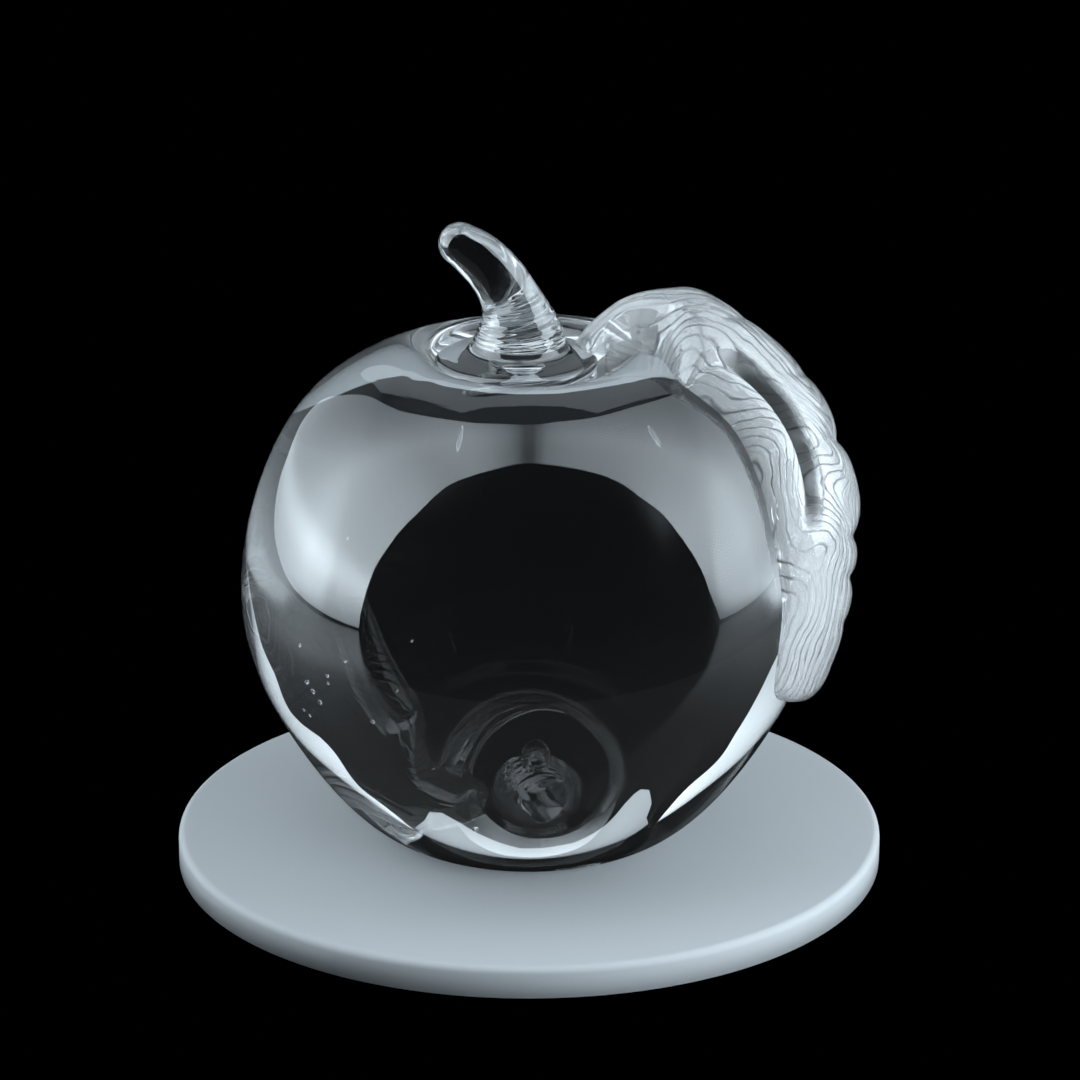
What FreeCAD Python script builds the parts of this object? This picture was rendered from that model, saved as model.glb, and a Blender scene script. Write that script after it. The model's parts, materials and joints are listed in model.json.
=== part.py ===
# Art glass apple: a solid glass body, a stem drawn out of a second gather of glass,
# and a thick leaf pressed over the right shoulder from a third.
# Millimetres, +Z up. The origin is the centre of the ground ring that it stands on.
# The leaf lies toward +X, and the stem leans toward -X. The front is toward -Y.
import FreeCAD, Part
import math
import os
from FreeCAD import Vector

os.makedirs("parts", exist_ok=True)

# Body
body_radius = 46.0
body_height = 80.0
base_radius = 19.0
base_hollow_radius = 12.5
base_hollow_depth = 1.6
lip_radius = 20.6
bowl_radius = 13.0
bowl_depth = 6.2

# Trapped bubble between body and stem
bubble_radius = 2.7
bubble_depth = 3.0
bubble_offset = 1.0

# Stem
pad_radius = 13.1
pad_rise = 0.2
pad_thickness = 3.2
pad_offset = 2.3
stem_offset = 1.5
bend_rise = 1.8
bend_radius = 18.5
bend_angle = 60.0
tip_radius = 3.4
# The pad's top stands a little over the lip, and the bend begins a little over the pad
pad_height = body_height + pad_rise
bend_height = pad_height + bend_rise

# Leaf
leaf_length = 83.0
leaf_width = 50.0
leaf_thickness = 11.3
leaf_start = 1.0
leaf_root = 3.0
margin_sink = 1.0
valley_depth = 1.7
groove_depth = 3.4
groove_width = 1.3

# Wall of the body: shares of its radius and height
wall_shares = [(0.570, 0.0065), (0.875, 0.2276), (1.055, 0.4889), (0.906, 0.8114), (0.7056, 0.9454)]
# Lip: shares of its radius and of the body's height
lip_shares = [(1.0, 1.009), (0.75, 1.003)]
# Bowl that holds the stem's pad: shares of its radius and depth
bowl_shares = [(0.98, 0.62), (0.50, 1.0), (0.0, 1.0)]
# Line that the leaf follows from the lip to the stem: shares of the lip's radius and of the body's height
saddle_shares = [(0.62, 0.998), (0.30, 0.990)]

# Edge of the pad: share of its thickness above its foot, share of its radius
pad_shares = [(-2.5, 1.0), (0.0, 1.0), (0.50, 0.99), (0.78, 0.95), (0.94, 0.87)]
# Stem over the pad: share of the way from the pad's top to the tip, share of the tip's radius
stem_shares = [(0.005, 3.0), (0.02, 2.70), (0.047, 2.36), (0.085, 2.19), (0.165, 2.04), (0.245, 1.84),
               (0.311, 1.62), (0.391, 1.46), (0.467, 1.35), (0.538, 1.30), (0.608, 1.26), (0.722, 1.21),
               (0.863, 1.14), (1.0, 1.0)]

# Leaf from stem to tip: share of the length, turn of its middle line toward the back in degrees,
# share of the half width, share of the thickness
leaf_shares = [(0.00, 17.0, 0.15, 0.52), (0.09, 15.0, 0.18, 0.74), (0.16, 11.0, 0.27, 0.92),
               (0.205, 10.0, 0.50, 1.00), (0.25, 8.0, 0.61, 0.97), (0.34, 6.0, 0.70, 0.90),
               (0.45, 3.5, 0.82, 0.92), (0.60, 1.0, 0.94, 0.88), (0.71, 0.0, 0.98, 0.73),
               (0.79, -1.5, 1.00, 0.60), (0.87, -2.0, 0.97, 0.51), (0.91, -2.0, 0.86, 0.52),
               (0.945, -2.0, 0.64, 0.54), (1.00, -2.0, 0.26, 0.60)]
# Valleys pressed across the leaf: share of the length, share of the depth, width as a share of the length
valley_shares = [(0.273, 0.30, 0.020), (0.397, 0.35, 0.020), (0.512, 0.85, 0.026), (0.680, 1.0, 0.020),
                 (0.751, 1.0, 0.020), (0.828, 0.45, 0.020)]
# Each valley drops by this share of the length from the middle to the back edge
valley_slant_share = 0.10
# The valleys run in from the back edge, and fade out before the front edge: shares of the half width
valley_end_share = 0.62
valley_fade_share = 0.50
# Groove beside the leaf's front edge: share of the length, share of the half width
groove_shares = [(0.24, 0.92), (0.27, 0.72), (0.32, 0.66), (0.42, 0.66), (0.52, 0.72), (0.58, 0.80)]
end_power = 10
row_count = 90
column_count = 21
ring_count = 24
ring_spacing = 0.4
tip_count = 12


def spline(points):
    """A clamped cubic spline with these control points."""
    curve = Part.BSplineCurve()
    curve.buildFromPoles(points, False, 3)
    return curve


def placed(shares, width, height):
    """Points in the XZ plane from shares of a width and a height."""
    return [Vector(across * width, 0, up * height) for across, up in shares]


def smooth(table, place, column):
    """The value of one column at a place, on a smooth curve through the table's rows."""
    last = len(table) - 1
    row = max(index for index in range(last) if index == 0 or table[index][0] <= place)

    def slope(index):
        low, high = table[max(index - 1, 0)], table[min(index + 1, last)]
        return (high[column] - low[column]) / (high[0] - low[0])

    low, high = table[row], table[row + 1]
    span = high[0] - low[0]
    step = (place - low[0]) / span
    rise = step * step * (3 - 2 * step)
    leave = step * (1 - step) * (1 - step) * span * slope(row)
    arrive = step * step * (step - 1) * span * slope(row + 1)
    return low[column] + (high[column] - low[column]) * rise + leave + arrive


def closed_solid(faces):
    """A solid from faces that meet edge to edge."""
    shell = Part.makeShell(faces)
    shell.sewShape()
    solid = Part.makeSolid(shell)
    if solid.Volume < 0:
        solid.reverse()
    return solid


def bump(distance, width):
    """A smooth bump, 1 at its middle."""
    return math.exp(-(distance / width) ** 2)


def notch(distance, width):
    """A sharp notch with curved sides, 1 at its middle."""
    return math.exp(-abs(distance) / width)


def wall_line():
    """The points that the body's wall and lip follow from the base up."""
    wall = [Vector(base_radius, 0, 0)] + placed(wall_shares, body_radius, body_height)
    return wall + placed(lip_shares, lip_radius, body_height)


def make_body():
    """The solid apple, with a polished hollow in its base and a bowl for the stem on top."""
    bowl = [Vector(across * bowl_radius, 0, body_height - down * bowl_depth) for across, down in bowl_shares]
    wall = spline(wall_line() + bowl).toShape()
    ring = Vector(base_hollow_radius, 0, 0)
    crown = Vector(0, 0, base_hollow_depth)
    quarter = Vector(base_hollow_radius / 2, 0, base_hollow_depth * 3 / 4)
    edges = [Part.makeLine(ring, Vector(base_radius, 0, 0)), wall, Part.makeLine(bowl[-1], crown),
             Part.Arc(crown, quarter, ring).toShape()]
    return Part.Face(Part.Wire(edges)).revolve(Vector(0, 0, 0), Vector(0, 0, 1), 360)


def make_bubble():
    """The round pit in the bowl's floor, in which the stem's glass traps a bubble of air."""
    bubble = Part.makeSphere(bubble_radius)
    stretch = FreeCAD.Matrix()
    stretch.scale(1, 1, bubble_depth / bubble_radius)
    bubble = bubble.transformGeometry(stretch)
    bubble.translate(Vector(-bubble_offset, 0, body_height - bowl_depth))
    return bubble


def stem_middle(travel):
    """The stem's middle and its lean in degrees, at a distance along it from the foot of the pad."""
    straight = bend_height - pad_height + pad_thickness
    if travel < straight:
        step = max(0, travel / straight)
        aside = pad_offset + (stem_offset - pad_offset) * step * step * (3 - 2 * step)
        return Vector(-aside, 0, pad_height - pad_thickness + travel), 0
    lean = (travel - straight) / bend_radius
    arm = Vector(math.cos(lean), 0, math.sin(lean)) * bend_radius
    return Vector(-stem_offset - bend_radius, 0, bend_height) + arm, math.degrees(lean)


def ring_points(middle, lean, radius):
    """Control points round the stem, square to its middle line, that give a ring of this radius."""
    turn = FreeCAD.Rotation(Vector(0, 1, 0), -lean)
    reach = radius * 3 / (2 + math.cos(2 * math.pi / ring_count))
    points = []
    for column in range(ring_count):
        angle = 2 * math.pi * column / ring_count
        points.append(middle + turn.multVec(Vector(math.cos(angle), math.sin(angle), 0) * reach))
    return points


def tube(rows):
    """A smooth closed tube through rings of control points."""
    spans = len(rows) - 3
    surface = Part.BSplineSurface()
    surface.buildFromPolesMultsKnots(rows, [4] + [1] * (spans - 1) + [4], [1] * (ring_count + 1),
                                     list(range(spans + 1)), list(range(ring_count + 1)), False, True, 3, 3)
    return surface


def make_stem():
    """The stem: a pad that fills the bowl, a flared root, and a bend that ends in a round tip."""
    over = bend_height - pad_height + math.radians(bend_angle) * bend_radius
    table = [(pad_thickness * up, pad_radius * wide) for up, wide in pad_shares]
    table += [(pad_thickness + over * along, tip_radius * wide) for along, wide in stem_shares]
    first, last = table[0][0], table[-1][0]
    count = round((last - first) / ring_spacing)
    rows = []
    for row in range(count + 1):
        travel = first + (last - first) * row / count
        middle, lean = stem_middle(travel)
        rows.append(ring_points(middle, lean, smooth(table, travel, 1)))
    along = FreeCAD.Rotation(Vector(0, 1, 0), -lean).multVec(Vector(0, 0, 1))
    for step in range(1, tip_count):
        angle = math.pi / 2 * step / tip_count
        rows.append(ring_points(middle + along * tip_radius * math.sin(angle), lean, tip_radius * math.cos(angle)))
    surface = tube(rows)
    ends = [Part.Face(Part.Wire(surface.uIso(value).toShape())) for value in surface.bounds()[:2]]
    return closed_solid([surface.toShape()] + ends)


def leaf_lift(place, across):
    """How far the leaf's face stands off the body at a share of its length and of its half width."""
    ends = math.sqrt(1 - abs(2 * place - 1) ** end_power)
    dome = math.sqrt(max(0, 1 - across * across))
    lift = smooth(leaf_shares, place, 3) * leaf_thickness * ends * dome
    along = place - valley_slant_share * across
    reach = min(1, max(0, (across + valley_end_share) / valley_fade_share))
    for share, depth, width in valley_shares:
        lift -= depth * valley_depth * notch(along - share, width) * dome * reach
    first, last = groove_shares[0][0], groove_shares[-1][0]
    if first < place < last:
        fade = math.sin(math.pi * (place - first) / (last - first)) ** 0.5
        half = smooth(leaf_shares, place, 2) * leaf_width / 2
        aside = (across + smooth(groove_shares, place, 1)) * half
        lift -= groove_depth * fade * bump(aside, groove_width)
    return lift - margin_sink


def leaf_skin(line, lift_of):
    """One smooth face of the leaf: rows of points along it, and columns across it."""
    rows = []
    for row in range(row_count):
        place = (1 - math.cos(math.pi * (row + 0.5) / row_count)) / 2
        there = line.parameterAtDistance(leaf_start + place * leaf_length, line.FirstParameter)
        base = line.value(there)
        slope = line.tangent(there)[0]
        out = Vector(-slope.z, 0, slope.x)
        ends = math.sqrt(1 - abs(2 * place - 1) ** end_power)
        half = smooth(leaf_shares, place, 2) * leaf_width / 2 * ends
        turn = math.radians(smooth(leaf_shares, place, 1))
        points = []
        for column in range(column_count):
            across = math.sin(math.pi * (column / (column_count - 1) - 0.5))
            angle = turn + across * half / base.x
            point = base + out * lift_of(place, across)
            points.append(Vector(point.x * math.cos(angle), point.x * math.sin(angle), point.z))
        rows.append(points)
    surface = Part.BSplineSurface()
    surface.interpolate(rows)
    return surface


def make_leaf():
    """The leaf: a domed and pressed face over a root that reaches into the body."""
    saddle = placed(saddle_shares, lip_radius, body_height)
    line = spline((wall_line() + saddle)[::-1])
    face = leaf_skin(line, leaf_lift)
    root = leaf_skin(line, lambda place, across: -margin_sink - leaf_root)
    u0, u1, v0, v1 = face.bounds()
    faces = [face.toShape(), root.toShape()]
    for first, second in [(face.uIso(u0), root.uIso(u0)), (face.uIso(u1), root.uIso(u1)),
                          (face.vIso(v0), root.vIso(v0)), (face.vIso(v1), root.vIso(v1))]:
        faces.append(Part.makeRuledSurface(first.toShape(), second.toShape()))
    return closed_solid(faces)


whole = make_body()
body = whole.cut(make_bubble())
stem = make_stem().cut(whole)
leaf = make_leaf().cut(whole).cut(stem)
for name, shape in [("body", body), ("stem", stem), ("leaf", leaf)]:
    box = shape.BoundBox
    print(name, shape.isValid(), len(shape.Solids), "volume %.0f" % shape.Volume,
          "x %.1f %.1f y %.1f %.1f z %.1f %.1f" % (box.XMin, box.XMax, box.YMin, box.YMax, box.ZMin, box.ZMax))
    shape.exportStep("parts/%s.step" % name)
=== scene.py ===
# %% [markdown]
# # A solid glass apple
# The real object is clear glass, worked hot in three gathers. The first is the apple itself, solid all
# through. The second is dropped into the bowl at its top and pulled out into a stem, and traps one round
# bubble of air. The third is laid over the right shoulder and pressed into a thick leaf.
# This script builds each gather as its own closed mesh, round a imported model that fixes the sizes.

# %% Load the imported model
import json
import math

import bmesh
import bpy
import numpy as np
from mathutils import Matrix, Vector

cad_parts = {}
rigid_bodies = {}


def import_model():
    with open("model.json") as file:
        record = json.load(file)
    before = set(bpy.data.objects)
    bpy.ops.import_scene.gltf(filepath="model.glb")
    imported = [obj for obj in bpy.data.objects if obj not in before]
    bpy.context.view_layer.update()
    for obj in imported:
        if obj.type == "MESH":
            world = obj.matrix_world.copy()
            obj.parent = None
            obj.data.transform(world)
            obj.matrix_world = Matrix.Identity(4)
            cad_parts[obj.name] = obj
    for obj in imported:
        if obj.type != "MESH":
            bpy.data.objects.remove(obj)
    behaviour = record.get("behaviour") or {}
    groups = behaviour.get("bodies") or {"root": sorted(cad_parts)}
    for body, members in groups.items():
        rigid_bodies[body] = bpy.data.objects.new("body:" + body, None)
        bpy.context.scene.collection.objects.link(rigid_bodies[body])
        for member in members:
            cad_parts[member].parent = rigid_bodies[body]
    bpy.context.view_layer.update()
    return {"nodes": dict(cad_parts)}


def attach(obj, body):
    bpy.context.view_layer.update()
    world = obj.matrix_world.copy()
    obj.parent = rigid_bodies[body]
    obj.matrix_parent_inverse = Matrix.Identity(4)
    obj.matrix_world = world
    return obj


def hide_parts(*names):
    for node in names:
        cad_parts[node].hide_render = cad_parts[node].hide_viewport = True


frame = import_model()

scene = bpy.context.scene
print("packed nodes:", ", ".join(sorted(frame["nodes"])))

# %% [markdown]
# ## Sizes
# Glass shows every flaw of a mesh, so the three pieces are made again from the model's own sizes, with many
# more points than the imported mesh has. Sizes are in millimetres until a mesh is made.

# %% Sizes of the body, stem and leaf
MM = 0.001

body_radius, body_height = 46.0, 80.0
base_radius = 19.0
base_hollow_radius, base_hollow_depth = 12.5, 1.6
lip_radius, bowl_radius, bowl_depth = 20.6, 13.0, 6.2
bubble_radius, bubble_depth, bubble_offset = 2.7, 3.0, 1.0

pad_radius, pad_rise, pad_thickness, pad_offset = 13.1, 0.2, 3.2, 2.3
stem_offset, bend_rise, bend_radius, bend_angle, tip_radius = 1.5, 1.8, 18.5, 60.0, 3.4
pad_height = body_height + pad_rise
bend_height = pad_height + bend_rise

leaf_length, leaf_width, leaf_thickness = 83.0, 50.0, 11.3
leaf_start, margin_sink, valley_depth = 1.0, 1.0, 1.7
groove_depth, groove_width = 3.4, 1.3

# Control points, as shares of a radius and of a height or a depth
wall_shares = [(0.570, 0.0065), (0.875, 0.2276), (1.055, 0.4889), (0.906, 0.8114), (0.7056, 0.9454)]
lip_shares = [(1.0, 1.009), (0.75, 1.003)]
bowl_shares = [(0.98, 0.62), (0.50, 1.0), (0.0, 1.0)]
saddle_shares = [(0.62, 0.998), (0.30, 0.990)]

# Height as a share of the pad's, or length as a share of the stem's, and radius as a share of its radius
pad_shares = [(-2.5, 1.0), (0.0, 1.0), (0.50, 0.99), (0.78, 0.95), (0.94, 0.87)]
stem_shares = [
    (0.005, 3.0), (0.02, 2.70), (0.047, 2.36), (0.085, 2.19), (0.165, 2.04), (0.245, 1.84), (0.311, 1.62),
    (0.391, 1.46), (0.467, 1.35), (0.538, 1.30), (0.608, 1.26), (0.722, 1.21), (0.863, 1.14), (1.0, 1.0)]
# Share of the length, turn to the back in degrees, and shares of the width and of the thickness
leaf_shares = [
    (0.00, 17.0, 0.15, 0.52), (0.09, 15.0, 0.18, 0.74), (0.16, 11.0, 0.27, 0.92), (0.205, 10.0, 0.50, 1.00),
    (0.25, 8.0, 0.61, 0.97), (0.34, 6.0, 0.70, 0.90), (0.45, 3.5, 0.82, 0.92), (0.60, 1.0, 0.94, 0.88),
    (0.71, 0.0, 0.98, 0.73), (0.79, -1.5, 1.00, 0.60), (0.87, -2.0, 0.97, 0.51), (0.91, -2.0, 0.86, 0.52),
    (0.945, -2.0, 0.64, 0.54), (1.00, -2.0, 0.26, 0.60)]
# Share of the length, share of the depth, and how far it reaches along the leaf
valley_shares = [
    (0.273, 0.30, 0.020), (0.397, 0.35, 0.020), (0.512, 0.85, 0.026), (0.680, 1.0, 0.020),
    (0.751, 1.0, 0.020), (0.828, 0.45, 0.020)]
valley_slant_share, valley_end_share, valley_fade_share = 0.10, 0.62, 0.50
# Share of the length, and how far to the front as a share of half the width
groove_shares = [(0.24, 0.92), (0.27, 0.72), (0.32, 0.66), (0.42, 0.66), (0.52, 0.72), (0.58, 0.80)]
end_power = 10
print("body", 2 * body_radius, "mm wide, leaf", leaf_length, "mm long, stem", 2 * tip_radius, "mm at its tip")

# %% [markdown]
# ## Curves through a few points
# A maker's profile is a few sizes and a smooth line between them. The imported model's outlines are clamped
# cubic splines, so the same is worked out here. A second curve passes through each row of a table, for a
# size that changes along the stem, the leaf or a light.

# %% A spline, and a curve through the rows of a table
def spline(poles, count):
    """Points on the clamped cubic spline with these control points."""
    poles = np.array(poles, float)
    spans = len(poles) - 3
    knots = np.concatenate([np.zeros(3), np.arange(spans + 1), np.full(3, spans)])
    at = np.linspace(0, spans, count)
    first = np.minimum(at.astype(int), spans - 1)
    near = [poles[first + j] for j in range(4)]
    for level in range(1, 4):
        for j in range(3, level - 1, -1):
            low, high = knots[first + j], knots[first + j + 4 - level]
            share = ((at - low) / (high - low))[:, None]
            near[j] = (1 - share) * near[j - 1] + share * near[j]
    return near[3]


def smooth(table, places, column):
    """One column of a table at these places, on a smooth curve through its rows."""
    table = np.array(table, float)
    x, y = table[:, 0], table[:, column]
    ends = np.arange(len(x))
    low, high = np.maximum(ends - 1, 0), np.minimum(ends + 1, len(x) - 1)
    slope = (y[high] - y[low]) / (x[high] - x[low])
    row = np.clip(np.searchsorted(x, places, side="right") - 1, 0, len(x) - 2)
    span = x[row + 1] - x[row]
    step = np.clip((places - x[row]) / span, 0, 1)
    rise = step * step * (3 - 2 * step)
    bend = step * (1 - step) * span * ((1 - step) * slope[row] - step * slope[row + 1])
    return y[row] + (y[row + 1] - y[row]) * rise + bend


def turned(radius, angle, height):
    """Points at a radius, an angle round the upright axis and a height."""
    return np.stack([radius * np.cos(angle), radius * np.sin(angle), height + 0 * angle], -1)


print("spline helpers ready")

# %% [markdown]
# ## One grid builder for all three gathers
# Where two gathers fused, the glass runs on and no surface is left to see. Each piece is still its own
# closed mesh, so its faces are sorted into open ones and fused ones, which light passes straight through.
# The border between them has to be a clean line, so the builder cuts the grid's faces where a measure
# called `cover` passes zero, and finds that place by halving the step.

# %% Cut a grid along the line where its cover is zero
HALVINGS = 14


def cut_grid(rows, columns, closed, point_at, cover_at):
    """The grid's points, its open and its covered faces, and which points are on the cut between them."""
    across = columns if closed else columns - 1
    u, v = np.mgrid[:rows, :columns].reshape(2, -1).astype(float)
    points, covered = point_at(u, v), cover_at(u, v) > 0
    index = np.arange(rows * columns).reshape(rows, columns)
    beside = np.roll(index, -1, axis=1)[:, :across]
    here = index[:, :across]

    pairs = np.concatenate([np.stack([here.ravel(), beside.ravel()], 1),
                            np.stack([index[:-1].ravel(), index[1:].ravel()], 1)])
    steps = np.concatenate([np.tile([0.0, 1.0], (here.size, 1)), np.tile([1.0, 0.0], (index[:-1].size, 1))])
    split = covered[pairs[:, 0]] != covered[pairs[:, 1]]
    pairs, steps = pairs[split], steps[split]
    start = np.stack([u, v], 1)[pairs[:, 0]]
    low, high = np.zeros(len(pairs)), np.ones(len(pairs))
    for _ in range(HALVINGS):
        middle = (low + high) / 2
        there = start + steps * middle[:, None]
        same = (cover_at(there[:, 0], there[:, 1]) > 0) == covered[pairs[:, 0]]
        low, high = np.where(same, middle, low), np.where(same, high, middle)
    there = start + steps * ((low + high) / 2)[:, None]
    border = {tuple(sorted(pair)): len(points) + place for place, pair in enumerate(pairs.tolist())}
    points = np.concatenate([points, point_at(there[:, 0], there[:, 1])])

    corners = np.stack([here[:-1], beside[:-1], beside[1:], here[1:]], -1).reshape(-1, 4)
    count = covered[corners].sum(1)
    faces = {False: corners[count == 0].tolist(), True: corners[count == 4].tolist()}
    for quad in corners[(count > 0) & (count < 4)].tolist():
        parts = {False: [], True: []}
        for first, second in zip(quad, quad[1:] + quad[:1]):
            parts[bool(covered[first])].append(first)
            if covered[first] != covered[second]:
                for part in parts.values():
                    part.append(border[tuple(sorted((first, second)))])
        for kind, part in parts.items():
            faces[kind].append(part)
    return points, faces[False], faces[True], set(range(rows * columns, len(points)))


print("grid builder ready")

# %% [markdown]
# ## The outline of the body
# The apple is round about its axis, so one line turned about that axis gives the whole surface. It runs
# from the polished hollow in the base, over the ring that it stands on, up the wall, over the lip and down
# into the bowl.

# %% The body's line, from the middle of the base to the middle of the bowl
BODY_STEP, CURVE_POINTS, BASE_POINTS = 0.5, 4000, 60


def distances(line):
    """How far along a line each of its points is."""
    return np.concatenate([[0], np.cumsum(np.linalg.norm(np.diff(line, axis=0), axis=1))])


def evenly(points, step):
    """The same line with points at an even distance."""
    along = distances(points)
    places = np.linspace(0, along[-1], int(round(along[-1] / step)) + 1)
    return np.stack([np.interp(places, along, points[:, k]) for k in range(points.shape[1])], 1)


def scaled(shares, width, height):
    """Points from shares of a width and a height."""
    return [(across * width, up * height) for across, up in shares]


wall_poles = [(base_radius, 0)] + scaled(wall_shares, body_radius, body_height)
wall_poles += scaled(lip_shares, lip_radius, body_height)
bowl_poles = [(across * bowl_radius, body_height - down * bowl_depth) for across, down in bowl_shares]
wall_curve = spline(wall_poles + bowl_poles, CURVE_POINTS)
base_shares = np.linspace(0, 1, BASE_POINTS)
base_curve = np.stack([base_hollow_radius * base_shares, base_hollow_depth * (1 - base_shares ** 2)], 1)
body_line = evenly(np.concatenate([base_curve, wall_curve]), BODY_STEP)
body_line[0, 0] = body_line[-1, 0] = 0

peak = np.argmax(wall_curve[:, 1])
inner = wall_curve[peak:][::-1]
outer = wall_curve[wall_curve[:, 1] > body_height / 2][:peak][::-1]
top_side = np.concatenate([inner, outer[outer[:, 0] > inner[-1, 0]]])


def bowl_height(radius):
    """The height of the body's top side at a radius, from the bowl's middle out to the shoulder."""
    return np.interp(radius, top_side[:, 0], top_side[:, 1])


print("body line:", len(body_line), "points, bowl floor at", round(float(bowl_height(0.0)), 2), "mm")

# %% [markdown]
# ## The stem
# A gather of glass is dropped into the bowl, where it spreads into a pad, and the soft glass is pulled up
# and bent over as it cools. So the stem is rings round a middle line: wide in the bowl, a flare where the
# pull begins, then a slow taper to a round tip. Its lowest ring lies on the bowl's surface.

# %% The stem's rings
STEM_COLUMNS = 144
ROOT_ROWS, STEM_ROWS, TIP_ROWS, PAD_ROWS = 30, 230, 18, 26
STRAIGHT = bend_height - pad_height + pad_thickness
OVER = bend_height - pad_height + math.radians(bend_angle) * bend_radius
stem_table = [(pad_thickness * up, pad_radius * wide) for up, wide in pad_shares]
stem_table += [(pad_thickness + OVER * along, tip_radius * wide) for along, wide in stem_shares]
stem_end = stem_table[-1][0]


def stem_middle(travel):
    """Across, height and lean of the stem's middle line at a distance along it from the pad's foot."""
    step = np.clip(travel / STRAIGHT, 0, 1)
    aside = pad_offset + (stem_offset - pad_offset) * step * step * (3 - 2 * step)
    lean = np.maximum(travel - STRAIGHT, 0) / bend_radius
    x = np.where(lean > 0, -stem_offset - bend_radius * (1 - np.cos(lean)), -aside)
    z = np.where(lean > 0, bend_height + bend_radius * np.sin(lean), pad_height - pad_thickness + travel)
    return x, z, lean


PULL_SPACING, PULL_HEIGHT = 1.1, 0.032
PULL_PLACE, PULL_REACH = 7.0, 3.2


def pull_rings(travel):
    """The fine rings left round the root of the stem, where the glass was pulled and turned."""
    fade = np.exp(-((travel - PULL_PLACE) / PULL_REACH) ** 2)
    return PULL_HEIGHT * fade * np.sin(2 * np.pi * travel / PULL_SPACING)


def stem_point(travel, angle):
    """A point on the stem's side."""
    x, z, lean = stem_middle(travel)
    radius = smooth(stem_table, travel, 1) + pull_rings(travel)
    out = radius * np.cos(angle)
    return np.stack([x + out * np.cos(lean), radius * np.sin(angle), z + out * np.sin(lean)], -1)


FINE_HALVINGS = 30


def halve(low, high, above):
    """The place between low and high where above() turns true, for each thing that it tells of."""
    for _ in range(FINE_HALVINGS):
        middle = (low + high) / 2
        there = above(middle)
        low, high = np.where(there, low, middle), np.where(there, middle, high)
    return (low + high) / 2


ROOT_ANGLES = 361
root_angles = np.linspace(0, 2 * np.pi, ROOT_ANGLES)


def over_bowl(travel):
    """Whether the stem's side is above the body's top side, at each root angle."""
    x, y, z = stem_point(travel, root_angles).T
    return z > bowl_height(np.hypot(x, y))


root_travel = halve(-pad_thickness, pad_thickness, over_bowl)
root_ring = stem_point(root_travel, root_angles)
root_reach = np.hypot(root_ring[:, 0] + pad_offset, root_ring[:, 1])
root_bearing = np.unwrap(np.arctan2(root_ring[:, 1], root_ring[:, 0] + pad_offset))


def pad_cover(points):
    """How far inside the pad's edge points of the bowl lie."""
    x, y, z = points[..., 0] + pad_offset, points[..., 1], points[..., 2]
    bearing = np.mod(np.arctan2(y, x), 2 * np.pi)
    edge = np.interp(bearing, root_bearing, root_reach, period=2 * np.pi)
    return np.where(z > body_height - 2 * bowl_depth, edge - np.hypot(x, y), -1.0)


print("the pad meets the bowl from z", root_ring[:, 2].min().round(2), "to", root_ring[:, 2].max().round(2))

# %% [markdown]
# ## The leaf
# The leaf is one thick ribbon of glass, laid on hot from the stem over the lip and down the wall, and then
# pressed with a tool, which leaves the valleys across it and the groove along its front edge. So it is a
# height above the body: one number for each place along the leaf and across it.

# %% Height of the leaf over the body
saddle_poles = scaled(saddle_shares, lip_radius, body_height)
leaf_curve = spline((wall_poles + saddle_poles)[::-1], CURVE_POINTS)
leaf_along = distances(leaf_curve)
leaf_slope = np.gradient(leaf_curve, leaf_along, axis=0)
leaf_slope /= np.linalg.norm(leaf_slope, axis=1)[:, None]
leaf_place = (leaf_along - leaf_start) / leaf_length
SHOULDER, SADDLE_BLEND = 21.7, 6.0
widest = np.argmax(leaf_curve[:, 0])


def leaf_line(place):
    """Radius and height of the leaf's middle line, and the way that it faces, outward and up."""
    r, z, along_r, along_z = [np.interp(place, leaf_place, x) for x in (*leaf_curve.T, *leaf_slope.T)]
    return r, z, -along_z, along_r


def near_saddle(radius):
    """1 where the leaf bridges from the stem to the lip, falling to 0 on the wall."""
    step = np.clip((radius - SHOULDER + SADDLE_BLEND / 2) / SADDLE_BLEND, 0, 1)
    return 1 - step * step * (3 - 2 * step)


FOLD_SPACING, FOLD_HEIGHT, FOLD_ROUNDNESS = 3.1, 0.22, 0.7
# An eye in the middle of the leaf pushes the flow lines aside, and so do two sways: a push and two lengths.
EYE_PLACE, EYE_REACH, EYE_PUSH = 0.48, 0.17, 4.2
EYE_LENGTH, EYE_TWIST, EYE_ACROSS = 3.4, 1.3, 3.3
SWAYS = [(1.1, 6.1, 5.0), (0.5, 2.1, -2.7)]
# The folds are deeper in some places than in others.
DEEP_LENGTH, DEEP_TWIST, DEEP_ACROSS, DEEP_START, DEEP_LEAST = 4.7, 0.9, 4.1, 0.6, 0.45
# Where the leaf bridges from the stem to the lip, its sides drop onto the glass below.
SIDE_FROM, SIDE_SPAN, SIDE_DROP = 0.9, 0.1, 6.0
# The upper part of the groove is a hollow that lies in shade; the leaf's glass is darkened there with painted
# shade.
HOLLOW_FIRST, HOLLOW_LAST, HOLLOW_ASIDE, HOLLOW_WIDTH, HOLLOW_CORE = 0.27, 0.59, 0.3, 1.3, 1.5


def flow_phase(place, across, half):
    """The number of the flow line that passes a place, counted across the leaf from its middle."""
    along, aside = place * leaf_length, across * half
    eye = np.exp(-((place - EYE_PLACE) / EYE_REACH) ** 2)
    push = EYE_PUSH * eye * np.sin(along / EYE_LENGTH + EYE_TWIST * np.sin(aside / EYE_ACROSS))
    for sway, length, breadth in SWAYS:
        push += sway * np.sin(along / length + aside / breadth)
    return (aside + push) / FOLD_SPACING


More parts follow.
